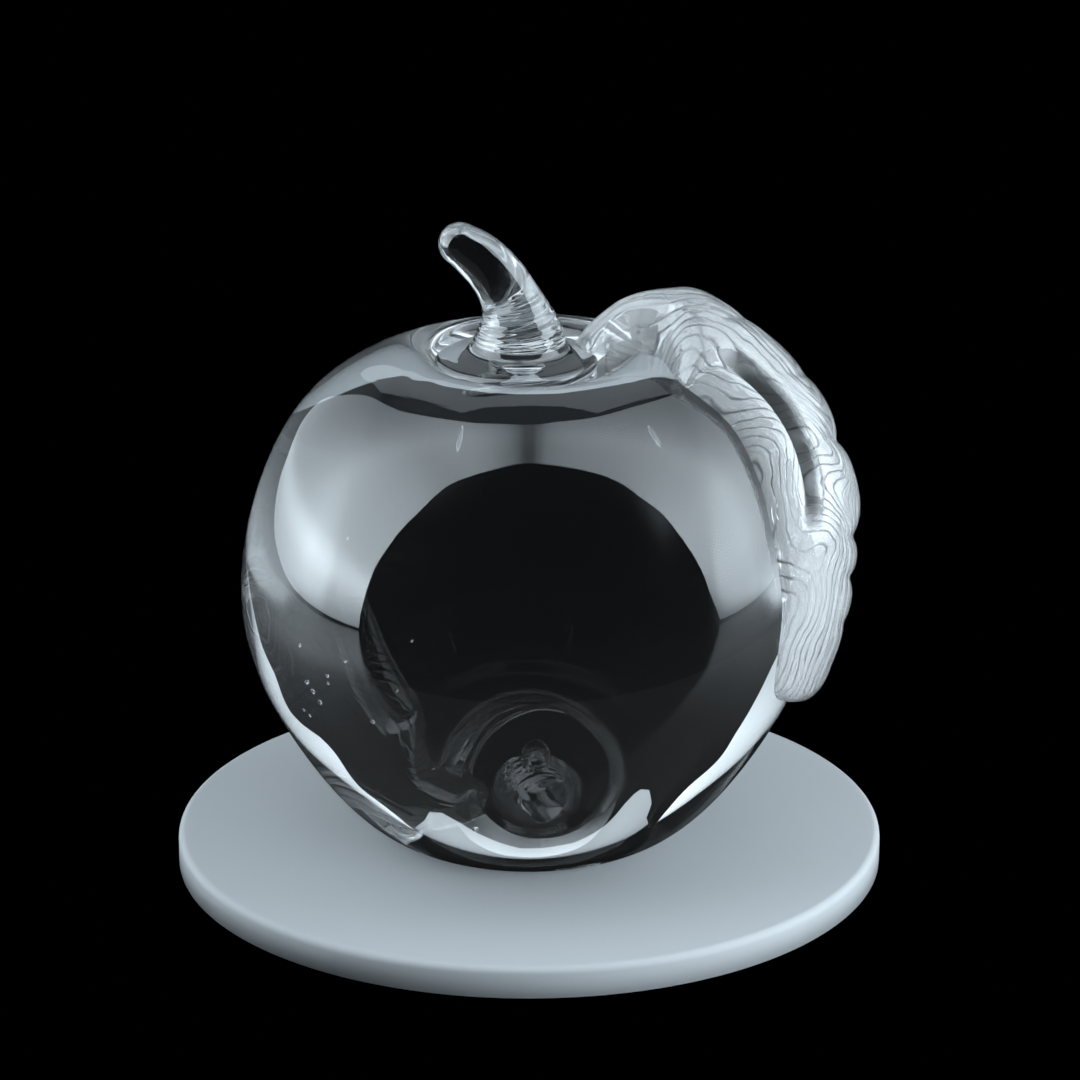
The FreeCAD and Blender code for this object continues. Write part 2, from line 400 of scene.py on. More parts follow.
def flow_folds(place, across, half):
    """The folds that the soft glass took as it ran down: long ridges with thin creases between them."""
    along, aside = place * leaf_length, across * half
    ridge = np.abs(np.sin(np.pi * flow_phase(place, across, half))) ** FOLD_ROUNDNESS
    deep = 0.5 + 0.5 * np.sin(along / DEEP_LENGTH + DEEP_TWIST * np.sin(aside / DEEP_ACROSS) + DEEP_START)
    return FOLD_HEIGHT * (ridge - 1) * (DEEP_LEAST + (1 - DEEP_LEAST) * deep)


def beside_groove(place, across, first, last):
    """Half the leaf's width, how far behind the groove a place is, and the groove's share of its depth."""
    half = smooth(leaf_shares, place, 2) * leaf_width / 2
    aside = (across + smooth(groove_shares, place, 1)) * half
    return half, aside, np.sqrt(np.sin(np.pi * np.clip((place - first) / (last - first), 0, 1)))


def leaf_lift(place, across):
    """How far the leaf's face stands off its line at a share of its length and of its half width."""
    ends = np.sqrt(np.maximum(0, 1 - np.abs(2 * place - 1) ** end_power))
    dome = np.sqrt(np.maximum(0, 1 - across * across))
    lift = smooth(leaf_shares, place, 3) * leaf_thickness * ends * dome
    along = place - valley_slant_share * across
    reach = np.clip((across + valley_end_share) / valley_fade_share, 0, 1)
    for share, depth, width in valley_shares:
        lift = lift - depth * valley_depth * np.exp(-np.abs(along - share) / width) * dome * reach
    half, aside, fade = beside_groove(place, across, groove_shares[0][0], groove_shares[-1][0])
    smoothed = 1 - fade * np.exp(-(aside / (2 * groove_width)) ** 2)
    lift = lift + flow_folds(place, across, half) * dome * ends * smoothed
    lift = lift - groove_depth * fade * np.exp(-(aside / groove_width) ** 2)
    side = np.clip((np.abs(across) - SIDE_FROM) / SIDE_SPAN, 0, 1)
    return lift - margin_sink - SIDE_DROP * side * near_saddle(leaf_line(place)[0])


def groove_shade_mask(place, across):
    """How deep in the groove's upper part a place is, from 0 to 1, which sets the painted shade and the
    roughness of the leaf's glass there.
    """
    _, aside, fade = beside_groove(place, across, HOLLOW_FIRST, HOLLOW_LAST)
    return np.clip(HOLLOW_CORE * fade * np.exp(-((aside - HOLLOW_ASIDE) / HOLLOW_WIDTH) ** 4), 0, 1)


def leaf_span(place):
    """The leaf's turn in radians, and half its width, at a share of its length."""
    ends = np.sqrt(np.maximum(1e-9, 1 - np.abs(2 * place - 1) ** end_power))
    return np.radians(smooth(leaf_shares, place, 1)), smooth(leaf_shares, place, 2) * leaf_width / 2 * ends


def stem_height(x, y):
    """The height of the pad and the flare at a place, or far below where there is none."""
    def outside(travel):
        middle, _, _ = stem_middle(travel)
        return np.hypot(x - middle, y) > smooth(stem_table, travel, 1)
    travel = halve(-pad_thickness, STRAIGHT + pad_thickness, outside)
    inside = np.hypot(x + pad_offset, y) < pad_radius
    return np.where(inside, pad_height - pad_thickness + travel, -1.0)


def support_height(x, y):
    """The height of whatever carries the leaf near the stem: the body, the pad or the flare."""
    return np.maximum(bowl_height(np.hypot(x, y)), stem_height(x, y))


def leaf_top(place, across):
    """A point on the leaf's face."""
    r, z, out_r, out_z = leaf_line(place)
    turn, half = leaf_span(place)
    lift = leaf_lift(place, across)
    return turned(r + out_r * lift, turn + across * half / r, z + out_z * lift)


def leaf_room(place, across):
    """How far the leaf's face is above what carries it."""
    close = leaf_line(place)[0] < SHOULDER
    top = leaf_top(place, across)
    room = top[..., 2] - support_height(top[..., 0], top[..., 1])
    return np.where(close, room, leaf_lift(place, across))


def leaf_under(place, across):
    """The point below, on what carries the leaf."""
    r, z, out_r, _ = leaf_line(place)
    turn, half = leaf_span(place)
    angle = turn + across * half / r
    near = r + near_saddle(r) * out_r * leaf_lift(place, across)
    low = turned(near, angle, z)
    low[..., 2] = np.where(r < SHOULDER, support_height(low[..., 0], low[..., 1]),
                           np.where(near_saddle(r) > 0, bowl_height(near), z))
    return low


TOP_FROM = 0.75


def leaf_cover(points):
    """How far below the leaf's face points on the body or the stem lie."""
    x, y, z = points[..., 0], points[..., 1], points[..., 2]
    r = np.hypot(x, y)
    by_r = np.interp(r, leaf_curve[:widest, 0], leaf_place[:widest])
    by_z = np.interp(-z, -leaf_curve[:, 1], leaf_place)
    place = np.where(z > TOP_FROM * body_height, by_r, by_z)
    turn, half = leaf_span(place)
    across = (np.arctan2(y, x) - turn) * r / half
    inside = (place > 0) & (place < 1) & (np.abs(across) < 1) & (r > leaf_curve[0, 0])
    above = np.where(r < SHOULDER, z - leaf_line(place)[1], 0)
    return np.where(inside, leaf_lift(place, across) - above, -margin_sink)


print("leaf line:", round(float(leaf_along[-1]), 1), "mm")

# %% [markdown]
# ## From points to closed meshes
# Every mesh here is closed, with its faces turned outward. A grid that is turned about an axis has a whole
# ring of points at each end where the surface closes, and each such ring is drawn in to one point.

# %% Make a mesh object from open and fused faces
def placed(name, data):
    """A new object in the scene, from a mesh or a camera."""
    made = bpy.data.objects.new(name, data)
    scene.collection.objects.link(made)
    return made


def make_piece(name, points, groups, materials):
    """One mesh object in metres, with one material for each group of faces."""
    faces, slots = [], []
    for slot, group in enumerate(groups):
        for face in group:
            face = [here for here, before in zip(face, face[-1:] + face[:-1]) if here != before]
            if len(face) > 2:
                faces.append(face)
                slots.append(slot)
    mesh = bpy.data.meshes.new(name)
    mesh.from_pydata((points * MM).tolist(), [], faces)
    mesh.polygons.foreach_set("material_index", slots)
    mesh.polygons.foreach_set("use_smooth", [True] * len(faces))
    for material in materials:
        mesh.materials.append(material)
    mesh.validate()
    return placed(name, mesh)


def drawn_in(faces, columns, *rings):
    """The same faces, with the rings that start at these points each drawn in to that point."""
    first = {ring + column: ring for ring in rings for column in range(columns)}
    return [[first.get(point, point) for point in face] for face in faces]


def ring_faces(rows, columns):
    """Faces between rings of points, with the first and the last ring each drawn in to a point."""
    faces = []
    for ring in range(0, rows * columns, columns):
        for column in range(columns):
            beside = (column + 1) % columns
            faces.append([ring + column, ring + columns + column, ring + columns + beside, ring + beside])
    return drawn_in(faces, columns, 0, rows * columns)


print("mesh helpers ready")

# %% [markdown]
# ## Shader sums written as Python
# A finish is a graph of nodes. A small class round a socket lets it be written as sums, so that `1 - mask`
# adds a Math node. Colours and vectors go through Vector Math, because Math makes them grey.

# %% A socket with operators, and materials to start from
class Wire:
    """A place in one shader's graph: a socket that adds nodes when it is used in a sum."""

    def __init__(self, tree, socket=None):
        self.tree, self.socket = tree, socket

    def node(self, kind, settings=None, **values):
        """Any other node, from its type, settings, and socket values or wires; gives a wire from it."""
        made = self.tree.nodes.new(kind)
        settings = dict(settings or {})
        output, stops = settings.pop("output", 0), settings.pop("stops", ())
        for name, value in settings.items():
            setattr(made, name, value)
        if stops:
            for element, (place, level) in zip(made.color_ramp.elements, stops):
                element.position, element.color = place, (level, level, level, 1)
        for name, value in values.items():
            socket = made.inputs[int(name[1:]) if name[1:].isdigit() else name.replace("_", " ")]
            if isinstance(value, Wire):
                self.tree.links.new(value.socket, socket)
            else:
                socket.default_value = value
        return Wire(self.tree, None if output is None else made.outputs[output])

    def into(self, surface, name):
        """Feeds a socket of the surface shader."""
        self.tree.links.new(self.socket, surface.inputs[name])

    def sums(self, operation, first, second):
        """A Math node, or a Vector Math node where a colour or a vector takes part."""
        wide = any(isinstance(x, Wire) and x.socket.type in ("VECTOR", "RGBA") for x in (first, second))
        if wide:
            first, second = [(x,) * 3 if isinstance(x, (int, float)) else x for x in (first, second)]
        kind = "ShaderNodeVectorMath" if wide else "ShaderNodeMath"
        return self.node(kind, {"operation": operation}, _0=first, _1=second)

    def __add__(self, other): return self.sums("ADD", self, other)
    def __radd__(self, other): return self.sums("ADD", other, self)
    def __sub__(self, other): return self.sums("SUBTRACT", self, other)
    def __rsub__(self, other): return self.sums("SUBTRACT", other, self)
    def __mul__(self, other): return self.sums("MULTIPLY", self, other)
    def __rmul__(self, other): return self.sums("MULTIPLY", other, self)


def finish(name, **constants):
    """A new material, a wire to start its graph from, and its surface shader with constants set."""
    material = bpy.data.materials.new(name)
    material.use_nodes = True
    surface = material.node_tree.nodes["Principled BSDF"]
    for socket, value in constants.items():
        surface.inputs[socket.replace("_", " ")].default_value = value
    return material, Wire(material.node_tree), surface


def bare_finish(name):
    """A new material with nothing in it yet, and a wire to start its graph from."""
    material, graph, _ = finish(name)
    graph.tree.nodes.clear()
    return material, graph


print("shader helpers ready")

# %% [markdown]
# ## Clear glass
# Full crystal is almost colourless and bends light strongly. Bending and mirroring are one setting here,
# the index. Hand-finished glass is never quite flat: a slow wave in it bends the mirrored lights a little.
# The ring that the apple stands on is ground, so it is rough, and the lip has faint swirls.

# %% The glass of the body and of the stem
CRYSTAL_INDEX = 1.53
SMEAR_ROUGHNESS = 0.045
RING_HEIGHT, RING_ROUGHNESS = 0.0006, 0.35
LIP_FROM, LIP_TO, SWIRL_SHARE = 0.0785, 0.0797, 0.45


def make_glass(name, wave_size, wave_height, is_body=False):
    """Clear glass with smears and a slow wave in its surface, and on the body its ring and its lip."""
    material, graph, surface = finish(name, Base_Color=(0.985, 0.995, 1.0, 1), IOR=CRYSTAL_INDEX,
                                      Transmission_Weight=1.0)
    place = graph.node("ShaderNodeTexCoord", {"output": "Object"})
    smears = graph.node("ShaderNodeTexNoise", Vector=place, Scale=60.0, Detail=4.0)
    rough = graph.node("ShaderNodeValToRGB", {"stops": [(0.5, 0.0), (0.75, SMEAR_ROUGHNESS)]}, Fac=smears)
    waves = graph.node("ShaderNodeTexNoise", Vector=place, Scale=1 / wave_size, Detail=1.0)
    if is_body:
        height = graph.node("ShaderNodeSeparateXYZ", {"output": "Z"}, Vector=place)
        on_ring = graph.node("ShaderNodeMapRange", Value=height, From_Min=RING_HEIGHT, From_Max=0.0)
        rough = rough + RING_ROUGHNESS * on_ring
        on_lip = graph.node("ShaderNodeMapRange", Value=height, From_Min=LIP_FROM, From_Max=LIP_TO)
        swirls = graph.node("ShaderNodeTexNoise", Vector=place, Scale=130.0, Detail=0.0, Distortion=1.2)
        waves = waves + SWIRL_SHARE * on_lip * swirls
    rough.into(surface, "Roughness")
    graph.node("ShaderNodeBump", Height=waves, Strength=1.0, Distance=wave_height).into(surface, "Normal")
    return material


body_glass = make_glass("body_glass", wave_size=0.022, wave_height=0.00012, is_body=True)
stem_glass = make_glass("stem_glass", wave_size=0.016, wave_height=0.00003)
print("clear glass:", body_glass.name, stem_glass.name)

# %% [markdown]
# ## The leaf's glass
# The leaf was pressed and pulled while it cooled, so its skin is full of fine flow lines. Each point of its
# mesh carries the number of its flow line, so the lines follow the folds. They tint the glass a little and
# stand out as a bump. The upper part of the groove along the front edge lies in shade, and the glass there
# is darkened with painted shade and made rougher. The glass is a little milky, because folds inside it
# scatter light.

# %% The glass of the leaf
LEAF_CLEARNESS = 0.80
# The first number is how dark the painted shade in the groove's upper part makes the leaf's glass.
GROOVE_PAINTED_SHADE, HOLLOW_ROUGHNESS = 0.93, 0.3
LINE_HEIGHT, LINES_PER_FOLD, LINE_BEND = 0.00008, 2.0, 0.9
leaf_glass, graph, surface = finish("leaf_glass", IOR=CRYSTAL_INDEX, Transmission_Weight=LEAF_CLEARNESS)
place = graph.node("ShaderNodeTexCoord", {"output": "Object"})


def from_mesh(name):
    """A number stored on the points of the mesh."""
    return graph.node("ShaderNodeAttribute", {"attribute_name": name, "output": "Fac"})


bend = graph.node("ShaderNodeTexNoise", Vector=place, Scale=150.0, Detail=2.0)
phase = math.pi * LINES_PER_FOLD * (from_mesh("flow") + LINE_BEND * (bend - 0.5))
sway = graph.node("ShaderNodeMath", {"operation": "SINE"}, _0=phase)
off_line = graph.node("ShaderNodeMath", {"operation": "ABSOLUTE"}, _0=sway)
lines = graph.node("ShaderNodeValToRGB", {"stops": [(0.0, 0.18), (0.48, 1.0)]}, Fac=off_line)
patches = graph.node("ShaderNodeTexNoise", Vector=place, Scale=110.0, Detail=1.0)
strength = graph.node("ShaderNodeValToRGB", {"stops": [(0.36, 0.30), (0.56, 1.0)]}, Fac=patches)
marks = 1 - (1 - lines) * strength
# Base colour: the flow lines' tint, with painted shade in the groove's upper part.
shade = marks * (1 - GROOVE_PAINTED_SHADE * from_mesh("hollow"))
shade.into(surface, "Base Color")
smears = graph.node("ShaderNodeTexNoise", Vector=place, Scale=140.0, Detail=3.0)
satin = graph.node("ShaderNodeValToRGB", {"stops": [(0.4, 0.02), (0.7, 0.12)]}, Fac=smears)
rough = satin + HOLLOW_ROUGHNESS * from_mesh("hollow")
rough.into(surface, "Roughness")
graph.node("ShaderNodeBump", Height=marks, Strength=1.0, Distance=LINE_HEIGHT).into(surface, "Normal")
print("leaf glass:", leaf_glass.name)

# %% [markdown]
# ## Fused joints
# Nothing shows where two gathers met hot. Both pieces have a face there, which lets light straight on
# without bending it.

# %% The finish of a fused face
fused, graph = bare_finish("fused_joint")
graph.node("ShaderNodeOutputMaterial", {"output": None}, Surface=graph.node("ShaderNodeBsdfTransparent"))
print("fused faces:", fused.name)

# %% [markdown]
# ## The body
# The line is turned about the axis. The trapped bubble is a closed shell inside, with its faces turned the
# other way, toward the air in it.

# %% Turn the body
BODY_COLUMNS = 320


def body_point(u, v):
    """A point on the body, from fractions of its rows and columns."""
    rows = np.arange(len(body_line))
    angle = 2 * np.pi * v / BODY_COLUMNS
    return turned(np.interp(u, rows, body_line[:, 0]), angle, np.interp(u, rows, body_line[:, 1]))


def body_cover(u, v):
    """How far a point on the body lies under the pad or the leaf."""
    points = body_point(u, v)
    return np.maximum(pad_cover(points), leaf_cover(points))


def air_shell(middle, axis, radius, rows=20, columns=32, flat_share=1.0):
    """A closed egg of air about an axis, its top flattened to a share, with faces that look inward."""
    middle, axis = np.array(middle, float), np.array(axis, float)
    on = axis / np.linalg.norm(axis)
    aside = np.cross(on, (0, 1, 0) if abs(on[1]) < 0.9 else (1, 0, 0))
    aside /= np.linalg.norm(aside)
    over = np.cross(on, aside)
    turns = np.arange(columns) * 2 * np.pi / columns
    grid = np.meshgrid(np.linspace(0, np.pi, rows + 1), turns, indexing="ij")
    down, angle = [column.reshape(-1, 1) for column in grid]
    up, wide = np.cos(down), radius * np.sin(down)
    up = np.where(up > 0, up * flat_share, up)
    points = middle + up * axis + wide * np.cos(angle) * aside + wide * np.sin(angle) * over
    return points, [face[:1] + face[:0:-1] for face in ring_faces(rows, columns)]


points, open_faces, hidden_faces, _ = cut_grid(len(body_line), BODY_COLUMNS, True, body_point, body_cover)
last = (len(body_line) - 1) * BODY_COLUMNS
open_faces, hidden_faces = [drawn_in(kind, BODY_COLUMNS, 0, last) for kind in (open_faces, hidden_faces)]

BUBBLE_ROOF, ROOF_SHARE = 0.2, 0.06
bubble_middle = (-bubble_offset, 0, float(bowl_height(0.0)) - BUBBLE_ROOF)
airs = [air_shell(bubble_middle, (0, 0, bubble_depth), bubble_radius, flat_share=ROOF_SHARE)]
# Seeds: middle, half length as a vector, and radius. Most are in the left side, where the gather folded.
seeds = [
    (-34.4, -26.7, 41.4, 0.18, -0.22, -0.1, 0.42), (-33.3, -27.4, 35.8, 0.17, -0.13, -0.31, 0.53),
    (-32.3, -27.7, 34.5, 0.3, -0.25, -0.3, 0.45), (-29.9, -30.2, 38.0, 0.07, -0.04, -0.3, 0.39),
    (-29.8, -30.1, 36.8, -0.0, 0.04, -0.22, 0.31), (-33.9, -24.5, 30.2, 0.16, -0.09, -0.21, 0.39),
    (-33.0, -25.4, 29.7, 0.23, -0.2, -0.16, 0.31), (-30.4, -26.0, 32.7, 0.29, -0.24, -0.22, 0.42),
    (-27.2, -29.9, 59.9, 0.15, -0.19, -0.09, 0.35), (-7.9, -29.7, 13.6, 0.37, 0.08, -0.24, 0.63),
    (-10.4, -27.8, 75.1, -0.35, -2.16, -1.4, 0.46), (19.1, -24.3, 74.3, 0.89, -1.48, -1.24, 0.58),
    (-16.7, -34.3, 45.4, 0.14, -0.08, -0.12, 0.30), (-26.7, -30.8, 40.7, 0.07, -0.06, -0.21, 0.40),
    (-22.5, -31.4, 31.9, 0.14, 0.0, -0.3, 0.40), (-18.7, -32.7, 37.3, 0.07, -0.02, -0.14, 0.30)]
airs += [air_shell(seed[:3], seed[3:6], seed[6], rows=8, columns=10) for seed in seeds]
for air_points, air_faces in airs:
    open_faces += [[point + len(points) for point in face] for face in air_faces]
    points = np.concatenate([points, air_points])
body = make_piece("apple_body", points, [open_faces, hidden_faces], [body_glass, fused])
print("body:", len(body.data.polygons), "faces,", len(hidden_faces), "of them fused")

# %% [markdown]
# ## The stem's mesh
# The side is the grid of rings. The underside is a disc of rows that copies the bowl's surface, and it
# shares the lowest ring's points, so the mesh is closed.

# %% Build the stem
COMMON_RING = 1.03 * pad_thickness


def stem_side(u, v):
    """A point on the stem's side, from fractions of its rows and columns."""
    angle = np.mod(2 * np.pi * v / STEM_COLUMNS, 2 * np.pi)
    first = np.interp(angle, root_angles, root_travel)
    low = first + (COMMON_RING - first) * np.minimum(u / ROOT_ROWS, 1)
    high = COMMON_RING + (stem_end - COMMON_RING) * np.clip((u - ROOT_ROWS) / STEM_ROWS, 0, 1)
    point = stem_point(np.where(u < ROOT_ROWS, low, high), angle)
    round_off = np.pi / 2 * np.clip((u - ROOT_ROWS - STEM_ROWS) / TIP_ROWS, 0, 1)
    x, z, lean = stem_middle(np.full_like(u, stem_end))
    out = tip_radius * np.cos(round_off) * np.cos(angle)
    on = tip_radius * np.sin(round_off)
    tip = np.stack([x + out * np.cos(lean) - on * np.sin(lean),
                    tip_radius * np.cos(round_off) * np.sin(angle),
                    z + out * np.sin(lean) + on * np.cos(lean)], -1)
    return np.where((u > ROOT_ROWS + STEM_ROWS)[..., None], tip, point)


def stem_cover(u, v):
    """How far below the leaf the stem's side lies; its lowest ring counts as open, so that it stays whole."""
    return np.where(u < 0.5, -margin_sink, leaf_cover(stem_side(u, v)))


stem_rows = ROOT_ROWS + STEM_ROWS + TIP_ROWS + 1
points, open_faces, hidden_faces, _ = cut_grid(stem_rows, STEM_COLUMNS, True, stem_side, stem_cover)
last = (stem_rows - 1) * STEM_COLUMNS
open_faces, hidden_faces = [drawn_in(kind, STEM_COLUMNS, last) for kind in (open_faces, hidden_faces)]

ring = points[:STEM_COLUMNS]
middle = np.array([-pad_offset, 0, 0])
disc, start = [], len(points)
for row in range(1, PAD_ROWS):
    near = middle + (ring - middle) * (1 - row / PAD_ROWS)
    near[:, 2] = bowl_height(np.hypot(near[:, 0], near[:, 1]))
    disc.append(near)
disc.append(np.array([[middle[0], 0, bowl_height(pad_offset)]]))
points = np.concatenate([points] + disc)
ring_starts = [0] + [start + row * STEM_COLUMNS for row in range(PAD_ROWS - 1)]
under = []
for wide, narrow in zip(ring_starts, ring_starts[1:]):
    for column in range(STEM_COLUMNS):
        beside = (column + 1) % STEM_COLUMNS
        under.append([wide + column, narrow + column, narrow + beside, wide + beside])
under += [[ring_starts[-1] + column, len(points) - 1, ring_starts[-1] + (column + 1) % STEM_COLUMNS]
          for column in range(STEM_COLUMNS)]
stem = make_piece("apple_stem", points, [open_faces, hidden_faces + under], [stem_glass, fused])
print("stem:", len(stem.data.polygons), "faces,", len(under), "of them under the pad")

# %% [markdown]
# ## The leaf's mesh
# The leaf's grid is cut where its face meets the glass below, and only the inside is kept. The same faces,
# turned over and laid on that glass, are its underside.

# %% Build the leaf
LEAF_ROWS, LEAF_COLUMNS = 420, 150


def leaf_spot(u, v):
    """Share of the length and of the half width, from fractions of rows and columns."""
    place = (1 - np.cos(np.pi * (u + 0.5) / LEAF_ROWS)) / 2
    return place, np.sin(np.pi * (v / (LEAF_COLUMNS - 1) - 0.5))


def leaf_row(u, v):
    """A point on the leaf's face, the one below it, how deep in the groove's painted shade it is, and its
    flow line.
    """
    spot = leaf_spot(u, v)
    flow = flow_phase(*spot, leaf_span(spot[0])[1])
    return np.concatenate([leaf_top(*spot), leaf_under(*spot), np.stack([groove_shade_mask(*spot), flow], -1)], -1)


points, _, kept, rim = cut_grid(LEAF_ROWS, LEAF_COLUMNS, False, leaf_row,
                                lambda u, v: leaf_room(*leaf_spot(u, v)))
top, low = points[:, :3], points[:, 3:6]
used = sorted({point for face in kept for point in face})
within = [point for point in used if point not in rim]
above = {point: place for place, point in enumerate(used)}
below = {**above, **{point: len(used) + place for place, point in enumerate(within)}}
# Rows run from the stem down and columns from front to back, so the upper faces are turned over.
face_up = [[above[point] for point in face][::-1] for face in kept]
face_down = [[below[point] for point in face] for face in kept]
all_points = np.concatenate([top[used], low[within]])
leaf = make_piece("apple_leaf", all_points, [face_up, face_down], [leaf_glass, fused])
# The last two columns of a leaf_row are for the leaf's glass: the mask for the groove's painted shade, and
# the flow line.
for name, column in (("hollow", 6), ("flow", 7)):
    values = np.zeros(len(all_points))
    values[:len(used)] = points[used, column]
    leaf.data.attributes.new(name, "FLOAT", "POINT").data.foreach_set("value", values)
print("leaf:", len(leaf.data.polygons), "faces,", len(rim), "points on its edge")

# %% [markdown]
# ## Hard edges
# Smooth shading would round off the edge where open glass turns sharply into a fused face, so such edges are
# marked hard. The body's fused faces go on in line with its open ones, and need none. The loop also counts
# edges without exactly two faces, because glass that isn't closed bends light wrongly.

# %% Mark the hard edges, and check that each mesh is closed
SOFT_ANGLE = 0.3

for piece in (body, stem, leaf):
    work = bmesh.new()
    work.from_mesh(piece.data)
    loose = sum(1 for edge in work.edges if len(edge.link_faces) != 2)
    if piece is not body:
        for edge in work.edges:
            if len({face.material_index for face in edge.link_faces}) > 1:
                edge.smooth = edge.calc_face_angle(0) < SOFT_ANGLE
    volume = work.calc_volume(signed=True)
    work.to_mesh(piece.data)
    work.free()
    print(piece.name, "open edges", loose, "volume", round(volume * 1e9), "mm3")

# %% [markdown]
# ## What each piece stands for
# Each mesh stands for the part of the imported model that has its name, and rides on the one body that the
# model has, because nothing in solid glass moves.

# %% Ride and replace
for piece, node in ((body, "body"), (stem, "stem"), (leaf, "leaf")):
    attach(piece, "root")
    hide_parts(node)
    print(piece.name, "stands for", node)

# %% [markdown]
# ## Light
# Clear glass shows only what is round it. The real one stood in a bright tent, open toward the camera and
# behind: the tent mirrors as a pale arch, and its openings as the dark inside. Glass mirrors only a twentieth
# of what it faces, so a tent that mirrors well is too bright to be seen through it. So there are two: a
# bright one that is mirrored and lights the floor, and a dim one for rays that pass through the glass.

# %% Sheets of light
light_material, graph = bare_finish("soft_light")
level = graph.node("ShaderNodeAttribute", {"attribute_name": "level", "output": "Fac"})
glow = graph.node("ShaderNodeEmission", Color=(0.80, 0.92, 1.0, 1), Strength=level)
graph.node("ShaderNodeOutputMaterial", {"output": None}, Surface=glow)


def make_light(name, points, rows, columns, levels, mirrored=False, through=False, matt=False):
    """A sheet of light from a grid of points, for mirrored rays, rays through glass or matt surfaces."""
    faces = [[r * columns + c, r * columns + c + 1, (r + 1) * columns + c + 1, (r + 1) * columns + c]
             for r in range(rows - 1) for c in range(columns - 1)]
    mesh = bpy.data.meshes.new(name)
    mesh.from_pydata(points, [], faces)
    mesh.attributes.new("level", "FLOAT", "POINT").data.foreach_set("value", levels)
    mesh.materials.append(light_material)
    light = placed(name, mesh)
    light.visible_camera = False
    light.visible_glossy, light.visible_transmission, light.visible_diffuse = mirrored, through, matt


TENT_RADIUS, TENT_MIDDLE, TENT_END = 0.42, 0.05, 97
TENT_TURNS, TENT_DEEP = 98, 24


def make_tent(name, shape, level_at, **met_by):
    """Half a tube round a line from front to back, with its front and back edges as the shape gives them."""
    shape = np.array(shape, float)
    points, levels = [], []
    for turn in np.linspace(-TENT_END, TENT_END, TENT_TURNS):
        near, far, glow = [float(smooth(shape, turn, column)) for column in (1, 2, 3)]
        side, up = TENT_RADIUS * math.sin(math.radians(turn)), TENT_RADIUS * math.cos(math.radians(turn))
        for deep in np.linspace(-near, far, TENT_DEEP):
            points.append((side, TENT_RADIUS * deep, TENT_MIDDLE + up))
            levels.append(level_at(glow, deep))
    make_light(name, points, TENT_TURNS, TENT_DEEP, levels, **met_by)


print("a tent has", TENT_TURNS, "by", TENT_DEEP, "points")

# %% [markdown]
# ## The two tents
# The edges of the pale arch were followed back, off the glass, to the places that they mirror, and the rims
# low in the body through the glass. A row gives degrees from overhead, left below zero, how far the tent
# reaches to the front and to the back, as shares of its radius, and how bright it is.

# %% The two tents
mirrored_tent = [
    (-97, 0.44, 0.20, 4), (-95, 0.45, 0.62, 5.5), (-93, 0.45, 0.83, 7), (-91, 0.46, 0.99, 8.5),
    (-85, 0.48, 1.19, 13.5), (-79, 0.50, 1.65, 9.5), (-68, 0.56, 1.75, 8.5), (-52, 0.59, 1.33, 7.2),
    (-40, 0.53, 0.98, 5.7), (-31, 0.46, 0.56, 4.8), (-16, 0.38, 0.29, 4.7), (-5, 0.30, 0.23, 2.7),
    (-2, 0.28, 0.22, 1.3), (0, 0.28, 0.22, 0.6), (2, 0.28, 0.22, 1.3), (5, 0.29, 0.25, 3.0),
    (16, 0.33, 0.37, 4.1), (27, 0.37, 0.66, 4.5), (37, 0.42, 1.00, 5.0), (46, 0.46, 1.25, 5.6),
    (57, 0.45, 1.45, 6.5), (70, 0.42, 1.60, 8.0), (81, 0.35, 1.50, 7.6), (85, 0.33, 1.19, 6.6),
    (91, 0.30, 0.99, 4.0), (93, 0.28, 0.83, 3.2), (97, 0.25, 0.30, 1.6)]
through_tent = [
    (-97, 0.44, 0.25, 0.5), (-91, 0.46, 0.80, 0.6), (-85, 0.48, 1.00, 0.7), (-70, 0.55, 1.15, 1.1),
    (-60, 0.57, 1.12, 1.2), (-50, 0.58, 1.20, 1.4), (-40, 0.53, 1.00, 1.8), (-31, 0.46, 0.60, 2.8),
    (-16, 0.38, 0.30, 3.2), (0, 0.28, 0.22, 2.4), (16, 0.33, 0.37, 3.0), (27, 0.37, 0.66, 2.6),
    (37, 0.42, 0.95, 1.7), (43, 0.44, 1.00, 1.4), (49, 0.46, 0.95, 1.2), (61, 0.44, 1.12, 1.1),
    (67, 0.42, 1.05, 1), (70, 0.42, 0.78, 1), (81, 0.35, 0.72, 1), (85, 0.33, 0.58, 1), (91, 0.30, 0.45, 1),
    (97, 0.25, 0.25, 1)]
MIRRORED_LEAST, MIRRORED_FROM, MIRRORED_FADE = 0.15, 0.1, 0.38
THROUGH_LEAST, THROUGH_GAIN, THROUGH_FROM, THROUGH_SPAN = 0.65, 0.6, 0.25, 0.3


def mirrored_level(glow, deep):
    """The bright tent fades toward the back, where the sides of the body mirror it most."""
    fade = math.exp(-max(0, deep - MIRRORED_FROM) / MIRRORED_FADE)
    return glow * (MIRRORED_LEAST + (1 - MIRRORED_LEAST) * fade)


def through_level(glow, deep):
    """The dim tent is brightest at the back, which the lower sides of the body show as white rims."""
    return glow * (THROUGH_LEAST + THROUGH_GAIN * min(1, max(0, (deep - THROUGH_FROM) / THROUGH_SPAN)))


make_tent("mirrored_tent", mirrored_tent, mirrored_level, mirrored=True, matt=True)
make_tent("through_tent", through_tent, through_level, through=True)
print("two tents, from", len(mirrored_tent), "and", len(through_tent), "rows")

# %% [markdown]
# ## A fill for the leaf
# The leaf glows more evenly than the tents light it, because its folds scatter light inside it. A low sheet
# at the front right lights that scattered part. It shows in no reflection and isn't seen through the glass.

